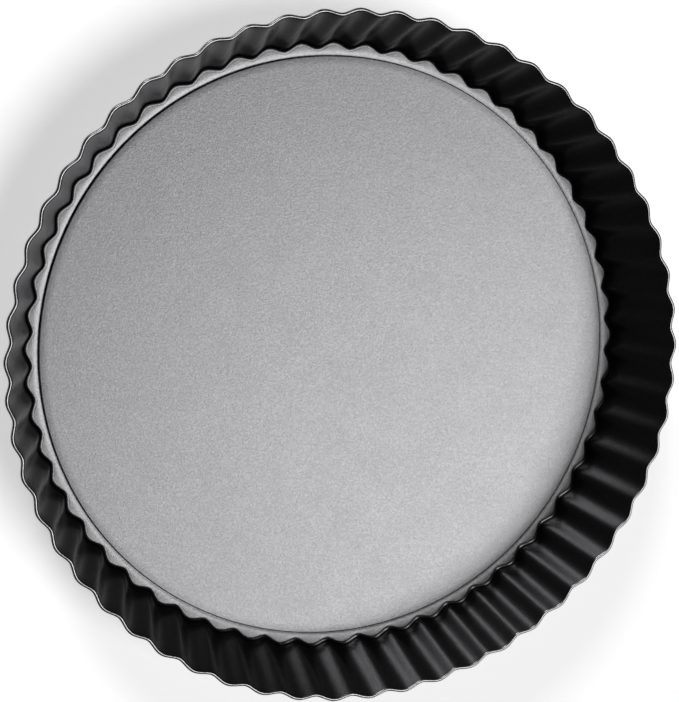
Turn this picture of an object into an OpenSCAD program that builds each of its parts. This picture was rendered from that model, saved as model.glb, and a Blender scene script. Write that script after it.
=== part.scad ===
// Fluted tart pan with a loose base: one pressed ring and one round plate that drops into it.
// Units are millimetres. The pan stands on z = 0 and its axis is +Z.

/* [Overall] */
// Diameter over the rolled rim, measured across the flute lobes
rim_d = 250; // [160:1:340]
// Height from the surface it stands on to the top of the rim
pan_h = 36; // [20:0.5:60]

/* [Flutes] */
// Number of flutes round the wall
flutes = 57; // [24:1:76]
// Depth of a flute at the foot of the wall, from lobe to ridge
foot_depth = 2.2; // [0.8:0.1:3]
// Depth of a flute at the rim
rim_depth = 1.7; // [0.8:0.1:3]
// Shape of a flute: 2 is an even wave, and less makes the lobes rounder and the ridges sharper
flute_shape = 1.7; // [1.2:0.1:2.4]
// Lean of the wall from upright, in degrees
wall_draft = 16; // [4:0.5:30]

/* [Ring sheet] */
// Thickness of the sheet that the ring is pressed from
sheet_t = 0.6; // [0.4:0.05:1.2]
// Diameter of the rolled rim
rim_bead = 1.5; // [1.3:0.05:3]
// Inside radius of the bend at the foot of the wall
foot_bend = 1.8; // [0.5:0.1:2.5]
// Width of the ledge under the edge of the base
seat_w = 8; // [4:0.5:20]

/* [Loose base] */
// Thickness of the base plate
base_t = 1.2; // [0.7:0.1:2]
// Side play between the edge of the base and the bend at the foot of the wall
base_play = 1.55; // [0.3:0.05:3]
// Chamfer on the edges of the base plate
base_edge = 0.3; // [0.1:0.05:0.3]

/* [Hidden] */

ring_colour = [0.2, 0.2, 0.21];
base_colour = [0.62, 0.62, 0.63];

// Columns drawn for one flute, and for the whole ring
flute_steps = 6;
columns = flutes * flute_steps;

// The section below is drawn through a ridge, out from the ridge's foot radius.
// The bead touches the inner face of the wall and rises to the full height.
bead_r = rim_bead / 2;
bead_reach = bead_r / cos(wall_draft);
wall_run = (pan_h - bead_r - sheet_t) * tan(wall_draft);
bead_centre = [wall_run + bead_reach, pan_h - bead_r];
foot_ridge_r = rim_d / 2 - rim_depth - bead_r - bead_centre[0];

// The wall's outer face meets the bead this far round from the wall's own direction
bead_join = asin((bead_r - sheet_t) / bead_r);

// The foot bend turns the wall into the ledge, around a centre inside the pan
bend_turn = 90 - wall_draft;
bend_reach = foot_bend * tan(bend_turn / 2);
bend_centre = [-bend_reach, sheet_t + foot_bend];

// The base drops inside the bend, and the ledge reaches under its edge
base_r = foot_ridge_r - bend_reach - base_play;
opening_r = base_r - seat_w;

// A point of the section on a circle, 0 degrees pointing away from the pan's axis,
// with the depth of the flutes there
function arc_point(centre, r, angle, depth) = [
    centre[0] + r * cos(angle),
    centre[1] + r * sin(angle),
    depth
];

// The ring's section as [distance out from the foot ridge, height, depth of the flutes]:
// along the underside, up the outside, round the bead, down the inside and back along the ledge
bend_angles = [-90, -90 + bend_turn / 2, -90 + bend_turn];
bead_angles = [-90 - wall_draft - bead_join, -60, 0, 45, 90, 180 - wall_draft];
ledge_end = opening_r - foot_ridge_r;
section = concat(
    [[ledge_end, 0, 0]],
    [for (a = bend_angles) arc_point(bend_centre, foot_bend + sheet_t, a, foot_depth)],
    [for (a = bead_angles) arc_point(bead_centre, bead_r, a, rim_depth)],
    [for (i = [2, 1, 0]) arc_point(bend_centre, foot_bend, bend_angles[i], foot_depth)],
    [[ledge_end, sheet_t, 0]]
);

// Share of a flute's depth at an angle round the pan, 0 on the ridges and 1 on the lobes
function wave(angle) = pow(abs(sin(angle * flutes / 2)), flute_shape);

// One section point carried round to a column
function ring_point(p, angle) =
    let (r = foot_ridge_r + p[0] + p[2] * wave(angle))
    [r * cos(angle), r * sin(angle), p[1]];

module fluted_ring() {
    count = len(section);
    points = [
        for (c = [0:columns - 1])
            for (p = section) ring_point(p, 360 * c / columns)
    ];
    faces = [
        for (c = [0:columns - 1])
            for (i = [0:count - 1])
                let (a = c * count, b = (c + 1) % columns * count, j = (i + 1) % count)
                each [[a + i, a + j, b + j], [a + i, b + j, b + i]]
    ];
    color(ring_colour) polyhedron(points, faces);
}

module loose_base() {
    color(base_colour)
        translate([0, 0, sheet_t])
            rotate_extrude($fn = 180)
                polygon([
                    [0, 0],
                    [base_r - base_edge, 0],
                    [base_r, base_edge],
                    [base_r, base_t - base_edge],
                    [base_r - base_edge, base_t],
                    [0, base_t]
                ]);
}

fluted_ring();
loose_base();
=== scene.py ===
"""A fluted tart pan with a loose base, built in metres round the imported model."""

import math

import bmesh
import bpy
import numpy as np
from mathutils import Matrix, Vector


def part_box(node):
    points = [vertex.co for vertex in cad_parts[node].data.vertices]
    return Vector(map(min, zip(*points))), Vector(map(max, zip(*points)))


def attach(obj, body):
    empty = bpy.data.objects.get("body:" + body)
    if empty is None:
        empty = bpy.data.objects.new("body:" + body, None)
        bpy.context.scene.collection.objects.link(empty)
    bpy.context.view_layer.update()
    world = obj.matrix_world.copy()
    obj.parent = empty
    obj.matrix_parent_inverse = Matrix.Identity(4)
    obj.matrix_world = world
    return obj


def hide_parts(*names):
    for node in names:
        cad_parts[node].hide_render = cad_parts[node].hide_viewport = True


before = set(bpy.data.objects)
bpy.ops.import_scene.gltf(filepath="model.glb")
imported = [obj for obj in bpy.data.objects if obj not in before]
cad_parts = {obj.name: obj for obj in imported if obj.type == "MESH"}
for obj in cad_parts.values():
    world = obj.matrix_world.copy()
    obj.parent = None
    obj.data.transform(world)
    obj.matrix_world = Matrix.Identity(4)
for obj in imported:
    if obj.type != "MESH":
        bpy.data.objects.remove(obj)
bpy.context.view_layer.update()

MM = 0.001

# The ring's own sizes, as the part is designed
FLUTES = 57
FOOT_DEPTH = 2.2 * MM
RIM_DEPTH = 1.7 * MM
FLUTE_SHAPE = 1.7
WALL_DRAFT = math.radians(16)
RIM_BEAD = 1.5 * MM
FOOT_BEND = 1.8 * MM
SEAT_WIDTH = 8 * MM

# The finer shape of the pressings
EDGE_ROUND = 0.45 * MM
BASE_GAP = 0.1 * MM
SHOULDER_WIDTH = 1.3 * MM
SHOULDER_LEAN = math.radians(13)
LEDGE_LEAN = math.radians(6)

# Where the rim's curl ends under the rim, from straight outwards
CURL_END = -0.58 * math.pi

# How finely the ring is drawn, round the axis and along its section
STEPS_PER_FLUTE = 16
EDGE_STEPS = 9
SEAT_ROWS = 3
SHOULDER_STEPS = 6
LEDGE_ROWS = 4
BEND_STEPS = 10
WALL_ROWS = 6
CURL_INSIDE_STEPS = 14
CURL_OUTSIDE_STEPS = 26

# How finely the base is drawn, with its rings as shares of its radius
BASE_COLUMNS = 360
BASE_RINGS = (0.04, 0.1, 0.2, 0.35, 0.5, 0.65, 0.8, 0.9, 0.97)
BASE_EDGE_STEPS = 6

# Points closer than this are one point
MERGE_DISTANCE = 0.001 * MM

# The coatings' texture: metal flakes, a fine grain and wide clouds, in number to a metre
FLAKE_SCALE = 2100.0
FINE_SCALE, FINE_DETAIL = 1100.0, 3.0
CLOUD_SCALE, CLOUD_DETAIL = 60.0, 4.0

# How much each of them changes the brightness, the roughness and the bumps
FLAKE_SHADE, FINE_SHADE, CLOUD_SHADE = 0.2, 0.55, 0.12
FINE_ROUGHNESS, CLOUD_ROUGHNESS = 0.05, 0.06
FLAKE_BUMP = 0.5
BUMP_DEPTH = 0.03 * MM

# The coatings are slightly blue, and reflect less at a slant than bare metal does
BLUE_TINT = 0.025
SLANT_REFLECTION = 0.65

# Each surface's brightness, roughness and strength of grain
LEDGE_TONE, LEDGE_ROUGHNESS, LEDGE_GRAIN = 0.12, 0.31, 0.8
WALL_TONE, WALL_ROUGHNESS, WALL_GRAIN = 0.18, 0.25, 0.1
BASE_TONE, BASE_ROUGHNESS, BASE_GRAIN = 0.2, 0.42, 1.1

# Where the wall's finish and the painted shade in the foot's crease begin, by height
WALL_FADE = (1.8 * MM, 3.2 * MM)
CREASE_SHADE_FADE = (1.35 * MM, 1.55 * MM)
CREASE_PAINTED_SHADE = 0.04

# Where painted shade darkens the ledge's corner and a painted shadow line darkens the base's edge,
# by distance past the base's edge
CORNER_SHADE_FADE = (1 * MM, 2.8 * MM)
CORNER_PAINTED_SHADE = 0.045
EDGE_SHADOW_FADE = (-0.6 * MM, -0.3 * MM)
EDGE_PAINTED_SHADOW = 0.15

# The floor shines a little by itself, like a light table
FLOOR_TONE = 0.86
FLOOR_GLOW = 0.45
FLOOR_HALF_WIDTH = 6.0
FLOOR_DROP = 0.05 * MM

# The camera, with its tilt from straight up and bearings from +X in degrees
CAMERA_ANGLE = math.radians(20.9)
CAMERA_TILT, CAMERA_BEARING = 17.86, 154.8
CAMERA_DISTANCE = 0.7128
CAMERA_TOP_BEARING = 92.3
AIM_X, AIM_Y = 3.3 * MM, -0.4 * MM

# The studio's lamps are this far off, and its walls are pale up to this height of view
LAMP_DISTANCE = 2.0
HORIZON_HEIGHT = 0.16

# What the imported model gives
ring_low, ring_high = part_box("fluted_ring")
base_low, base_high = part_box("loose_base")
rim_radius = -ring_low.x
pan_height = ring_high.z
sheet = base_low.z
base_radius = base_high.x


def arc(centre, radius, start, end, steps):
    """Points of a section on an arc, with angles in radians from straight outwards."""
    angles = np.linspace(start, end, steps)
    return [(centre[0] + radius * math.cos(a), centre[1] + radius * math.sin(a)) for a in angles]


def line(start, end, steps):
    """Points of a section between two ends, with both ends left out."""
    return [
        tuple(np.array(start) + (np.array(end) - np.array(start)) * k / (steps + 1))
        for k in range(1, steps + 1)
    ]


def flute_wave(angle):
    """How far out a flute stands at an angle: 0 on a ridge and 1 on a lobe."""
    return abs(math.sin(angle * FLUTES / 2)) ** FLUTE_SHAPE


def turned_piece(name, section, moves, columns, closed):
    """A section of (radius, height) points carried round the pan's axis, as a smooth mesh.

    moves says how far a lobe moves each point outwards and upwards. A section that isn't
    closed starts and ends on the axis."""
    angles = 2 * math.pi * np.arange(columns) / columns
    waves = np.array([flute_wave(angle) for angle in angles])
    radii = np.array(section)[:, 0] + np.outer(waves, moves[0])
    heights = np.array(section)[:, 1] + np.outer(waves, moves[1])
    across, along = np.cos(angles)[:, None], np.sin(angles)[:, None]
    points = np.stack((radii * across, radii * along, heights), axis=-1).reshape(-1, 3)

    count = len(section)
    faces = []
    for column in range(columns):
        here, there = column * count, (column + 1) % columns * count
        for index in range(count if closed else count - 1):
            after = (index + 1) % count
            faces.append((here + index, there + index, there + after, here + after))
    mesh = bpy.data.meshes.new(name)
    mesh.from_pydata(points.tolist(), [], faces)
    shape = bmesh.new()
    shape.from_mesh(mesh)
    bmesh.ops.remove_doubles(shape, verts=shape.verts, dist=MERGE_DISTANCE)
    bmesh.ops.recalc_face_normals(shape, faces=shape.faces)
    shape.to_mesh(mesh)
    shape.free()
    mesh.polygons.foreach_set("use_smooth", [True] * len(mesh.polygons))
    piece = bpy.data.objects.new(name, mesh)
    bpy.context.scene.collection.objects.link(piece)
    return piece


def ring_section():
    """The ring's section through a ridge, and how a lobe moves each of its points."""
    bead = RIM_BEAD / 2
    hollow = bead - sheet
    bead_centre = (rim_radius - RIM_DEPTH - bead, pan_height - bead)
    upright = math.pi / 2
    square = math.pi - WALL_DRAFT
    turn = upright - WALL_DRAFT

    ledge_end = base_radius - SEAT_WIDTH
    seat_end = base_radius + BASE_GAP
    shoulder = SHOULDER_WIDTH / (math.sin(SHOULDER_LEAN) - math.sin(LEDGE_LEAN))
    shoulder_rise = shoulder * (math.cos(LEDGE_LEAN) - math.cos(SHOULDER_LEAN))
    shoulder_axis = seat_end + shoulder * math.sin(SHOULDER_LEAN)

    wall_run = bead_centre[1] - sheet - shoulder_rise
    foot_ridge = bead_centre[0] - bead / math.cos(WALL_DRAFT) - wall_run * math.tan(WALL_DRAFT)
    bend_centre = (
        foot_ridge - FOOT_BEND * math.tan(turn / 2),
        sheet + shoulder_rise + FOOT_BEND,
    )

    def ledge(level):
        """One face of the ledge, outwards: under the base, then up a low shoulder."""
        seat = line((ledge_end + sheet / 2, level), (seat_end, level), SEAT_ROWS)
        centre = (shoulder_axis, level - shoulder * math.cos(SHOULDER_LEAN))
        start, end = upright + SHOULDER_LEAN, upright + LEDGE_LEAN
        rise = arc(centre, shoulder, start, end, SHOULDER_STEPS)
        return seat + rise + line(rise[-1], (bend_centre[0], rise[-1][1]), LEDGE_ROWS)

    half_sheet = sheet / 2
    edge_centre = (ledge_end + half_sheet, half_sheet)
    ledge_edge = arc(edge_centre, half_sheet, upright, 3 * upright, EDGE_STEPS)
    outer_bend = arc(bend_centre, FOOT_BEND + sheet, -upright, -WALL_DRAFT, BEND_STEPS)
    curl_inside = arc(bead_centre, hollow, square, CURL_END, CURL_INSIDE_STEPS)
    curl_outside = arc(bead_centre, bead, CURL_END, square, CURL_OUTSIDE_STEPS)
    inner_bend = arc(bend_centre, FOOT_BEND, -WALL_DRAFT, -upright, BEND_STEPS)
    section = (
        ledge_edge
        + ledge(0)
        + outer_bend
        + line(outer_bend[-1], curl_inside[0], WALL_ROWS)
        + curl_inside
        + curl_outside
        + line(curl_outside[-1], inner_bend[0], WALL_ROWS)
        + inner_bend
        + ledge(sheet)[::-1]
    )
    radii, heights = np.array(section).T
    low, high = bend_centre[1], bead_centre[1] - bead
    outwards = np.interp(heights, (low, high), (FOOT_DEPTH, RIM_DEPTH))
    along_ledge = np.interp(radii, (seat_end + SHOULDER_WIDTH, bend_centre[0]), (0, FOOT_DEPTH))
    outwards = np.where(heights > sheet + shoulder_rise, outwards, along_ledge)
    upwards = outwards * np.interp(heights, (low, high), (math.tan(LEDGE_LEAN), 0))
    return section, (outwards, upwards)


def make_ring():
    """The pressed ring: ledge, bend, fluted wall and curled rim in one sheet."""
    section, moves = ring_section()
    return turned_piece("ring_sheet", section, moves, FLUTES * STEPS_PER_FLUTE, True)


def make_base():
    """The loose base: a flat plate with a rounded edge."""
    low, high = base_low.z, base_high.z
    edge = base_radius - EDGE_ROUND
    inner = [base_radius * share for share in BASE_RINGS]
    section = (
        [(0, low)]
        + [(radius, low) for radius in inner]
        + arc((edge, low + EDGE_ROUND), EDGE_ROUND, -math.pi / 2, 0, BASE_EDGE_STEPS)
        + arc((edge, high - EDGE_ROUND), EDGE_ROUND, 0, math.pi / 2, BASE_EDGE_STEPS)
        + [(radius, high) for radius in reversed(inner)]
        + [(0, high)]
    )
    still = np.zeros((2, len(section)))
    return turned_piece("base_plate", section, still, BASE_COLUMNS, False)


class Value:
    """A socket in a material, so that shader maths is written as arithmetic."""

    def __init__(self, finish, socket):
        self.finish, self.socket = finish, socket

    def maths(self, operation, first, second):
        return self.finish.node(
            "ShaderNodeMath", {"operation": operation}, {0: first, 1: second}
        )

    def __add__(self, other):
        return self.maths("ADD", self, other)

    def __sub__(self, other):
        return self.maths("SUBTRACT", self, other)

    def __mul__(self, other):
        return self.maths("MULTIPLY", self, other)

    def __rsub__(self, other):
        return self.maths("SUBTRACT", other, self)

    __radd__ = __add__
    __rmul__ = __mul__


class Finish:
    """The nodes of one material, or of the studio round the pan."""

    def __init__(self, owner):
        owner.use_nodes = True
        self.owner, self.tree = owner, owner.node_tree
        self.tree.nodes.clear()

    def node(self, kind, settings=None, sockets=None, output=0):
        """Adds a node, makes its settings, fills its sockets and gives one of its outputs."""
        made = self.tree.nodes.new(kind)
        for name, setting in (settings or {}).items():
            setattr(made, name, setting)
        for name, given in (sockets or {}).items():
            if isinstance(given, Value):
                self.tree.links.new(given.socket, made.inputs[name])
            else:
                made.inputs[name].default_value = given
        return Value(self, made.outputs[output]) if made.outputs else None


def grey(level, blue=0.0):
    """A grey, with a little more blue where it's asked for."""
    return (level, level, level * (1 + blue), 1)


class Coating(Finish):
    """A charcoal non-stick coating with fine metal flake."""

    def __init__(self, name):
        super().__init__(bpy.data.materials.new(name))
        self.place = self.node("ShaderNodeTexCoord", output="Object")
        split = {"Vector": self.place}
        self.height = self.node("ShaderNodeSeparateXYZ", sockets=split, output="Z")
        flat = self.node(
            "ShaderNodeVectorMath", {"operation": "MULTIPLY"}, {0: self.place, 1: (1, 1, 0)}
        )
        self.radius = self.node("ShaderNodeVectorMath", {"operation": "LENGTH"}, {0: flat}, "Value")

    def between(self, value, start, end):
        """0 until a value reaches start, 1 once it has passed end, and smooth between them."""
        return self.node(
            "ShaderNodeMapRange",
            {"interpolation_type": "SMOOTHSTEP"},
            {"Value": value, "From Min": start, "From Max": end},
        )

    def past_base(self, start, end):
        """0 until start past the base's edge, 1 from end on, and smooth between them."""
        return self.between(self.radius, base_radius + start, base_radius + end)

    def noise(self, scale, detail):
        """An even noise round 0.5, at a number of waves to a metre."""
        sockets = {"Vector": self.place, "Scale": scale, "Detail": detail, "Roughness": 0.6}
        return self.node("ShaderNodeTexNoise", sockets=sockets)

    def finished(self, tone, roughness, grain):
        """The material, with its brightness and roughness as numbers or values."""
        spread = {"Vector": self.place, "Scale": FLAKE_SCALE}
        flake = self.node("ShaderNodeTexVoronoi", sockets=spread, output="Color")
        flake_tone = self.node("ShaderNodeSeparateColor", sockets={"Color": flake})
        fine = self.noise(FINE_SCALE, FINE_DETAIL)
        cloud = self.noise(CLOUD_SCALE, CLOUD_DETAIL)
        flake_shade = (flake_tone - 0.5) * FLAKE_SHADE
        noise_shade = (fine - 0.5) * FINE_SHADE + (cloud - 0.5) * CLOUD_SHADE
        rough_noise = (cloud - 0.5) * CLOUD_ROUGHNESS + (fine - 0.5) * FINE_ROUGHNESS
        colour = self.node(
            "ShaderNodeMix",
            {"data_type": "RGBA"},
            {
                "Factor": (flake_shade + noise_shade + 1.0) * tone,
                "A": grey(0.0),
                "B": grey(1.0, BLUE_TINT),
            },
            "Result",
        )
        bump = self.node(
            "ShaderNodeBump",
            sockets={"Distance": BUMP_DEPTH, "Height": (fine + flake_tone * FLAKE_BUMP) * grain},
        )
        surface = self.node(
            "ShaderNodeBsdfPrincipled",
            sockets={
                "Base Color": colour,
                "Metallic": 1.0,
                "Specular Tint": grey(SLANT_REFLECTION),
                "Roughness": rough_noise + roughness,
                "Normal": bump,
            },
        )
        self.node("ShaderNodeOutputMaterial", sockets={"Surface": surface})
        return self.owner


def ring_coating():
    """The ring's coating: glossy on the wall, duller on the ledge, with painted shade in the crease
    and the ledge's corner.
    """
    coating = Coating("ring_coating")
    wall = coating.between(coating.height, *WALL_FADE)
    # Painted shade: the crease at the foot of the wall is darkened in colour
    crease = coating.between(coating.height, *CREASE_SHADE_FADE) - wall
    # Painted shade: the ledge is darkened in colour towards its corner by the wall
    corner = coating.past_base(*CORNER_SHADE_FADE)
    ledge_tone_and_shade = LEDGE_TONE - CORNER_PAINTED_SHADE * corner - CREASE_PAINTED_SHADE * crease
    tone = ledge_tone_and_shade + (WALL_TONE - ledge_tone_and_shade) * wall
    roughness = LEDGE_ROUGHNESS + (WALL_ROUGHNESS - LEDGE_ROUGHNESS) * wall
    grain = LEDGE_GRAIN + (WALL_GRAIN - LEDGE_GRAIN) * wall
    return coating.finished(tone, roughness, grain)


def base_coating():
    """The base's coating, with a painted shadow line just inside its edge."""
    coating = Coating("base_coating")
    # Painted shadow: a thin dark ring on the base just inside its edge
    edge = coating.past_base(*EDGE_SHADOW_FADE)
    return coating.finished(BASE_TONE - EDGE_PAINTED_SHADOW * edge, BASE_ROUGHNESS, BASE_GRAIN)


def finish_with(piece, material, body, node):
    """Gives a piece its material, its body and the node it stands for."""
    piece.data.materials.append(material)
    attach(piece, body)
    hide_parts(node)


finish_with(make_ring(), ring_coating(), "ring", "fluted_ring")
finish_with(make_base(), base_coating(), "base", "loose_base")


def make_floor():
    """A plain pale floor under the pan."""
    finish = Finish(bpy.data.materials.new("floor_paint"))
    surface = finish.node(
        "ShaderNodeBsdfPrincipled",
        sockets={
            "Base Color": grey(FLOOR_TONE),
            "Roughness": 0.7,
            "Specular IOR Level": 0.2,
            "Emission Color": grey(1.0),
            "Emission Strength": FLOOR_GLOW,
        },
    )
    finish.node("ShaderNodeOutputMaterial", sockets={"Surface": surface})
    half = FLOOR_HALF_WIDTH
    mesh = bpy.data.meshes.new("floor")
    corners = [(-half, -half, 0), (half, -half, 0), (half, half, 0), (-half, half, 0)]
    mesh.from_pydata(corners, [], [(0, 1, 2, 3)])
    mesh.materials.append(finish.owner)
    floor = bpy.data.objects.new("floor", mesh)
    floor.location.z = -FLOOR_DROP
    bpy.context.scene.collection.objects.link(floor)


def look_along(thing, place, forward, up):
    """Puts a camera or a lamp at a place, looking forward, with its top towards up."""
    back = -forward.normalized()
    right = up.cross(back).normalized()
    turn = Matrix((right, back.cross(right), back)).transposed()
    thing.matrix_world = Matrix.Translation(place) @ turn.to_4x4()


def direction(tilt, bearing):
    """The way that leans from straight up by tilt, towards a bearing from +X, in degrees."""
    lean, way = math.radians(tilt), math.radians(bearing)
    return Vector((math.sin(lean) * math.cos(way), math.sin(lean) * math.sin(way), math.cos(lean)))


def make_camera():
    """A camera high over the pan, a little to its left and behind."""
    data = bpy.data.cameras.new("camera")
    data.angle = CAMERA_ANGLE
    camera = bpy.data.objects.new("camera", data)
    bpy.context.scene.collection.objects.link(camera)
    aim = Vector((AIM_X, AIM_Y, base_high.z))
    stand = direction(CAMERA_TILT, CAMERA_BEARING)
    top = direction(90, CAMERA_TOP_BEARING)
    look_along(camera, aim + stand * CAMERA_DISTANCE, -stand, top)
    bpy.context.scene.camera = camera


def make_softbox(name, tilt, bearing, spread, strength):
    """A round soft light far away in one direction."""
    data = bpy.data.lights.new(name, "SUN")
    data.angle = math.radians(spread)
    data.energy = strength
    lamp = bpy.data.objects.new(name, data)
    bpy.context.scene.collection.objects.link(lamp)
    way = direction(tilt, bearing)
    look_along(lamp, way * LAMP_DISTANCE, -way, Vector((0, 1, 0)))


def make_world(overhead, horizon):
    """A dim studio that grows pale towards the horizon."""
    world = bpy.data.worlds.new("studio")
    finish = Finish(world)
    way = finish.node("ShaderNodeTexCoord", output="Generated")
    height = finish.node("ShaderNodeSeparateXYZ", sockets={"Vector": way}, output="Z")
    low = finish.node(
        "ShaderNodeMapRange",
        {"interpolation_type": "SMOOTHSTEP"},
        {"Value": height, "From Min": HORIZON_HEIGHT, "From Max": 0.0},
    )
    tone = finish.node(
        "ShaderNodeMix",
        {"data_type": "RGBA"},
        {"Factor": low, "A": grey(overhead), "B": grey(horizon)},
        "Result",
    )
    air = finish.node("ShaderNodeBackground", sockets={"Color": tone})
    finish.node("ShaderNodeOutputWorld", sockets={"Surface": air})
    bpy.context.scene.world = world


make_floor()
make_camera()
make_softbox("main_softbox", 27, -32, 30, 1.7)
make_softbox("second_softbox", 56, 111, 14, 1.0)
make_world(0.004, 0.12)
bpy.context.scene.view_settings.view_transform = "Standard"
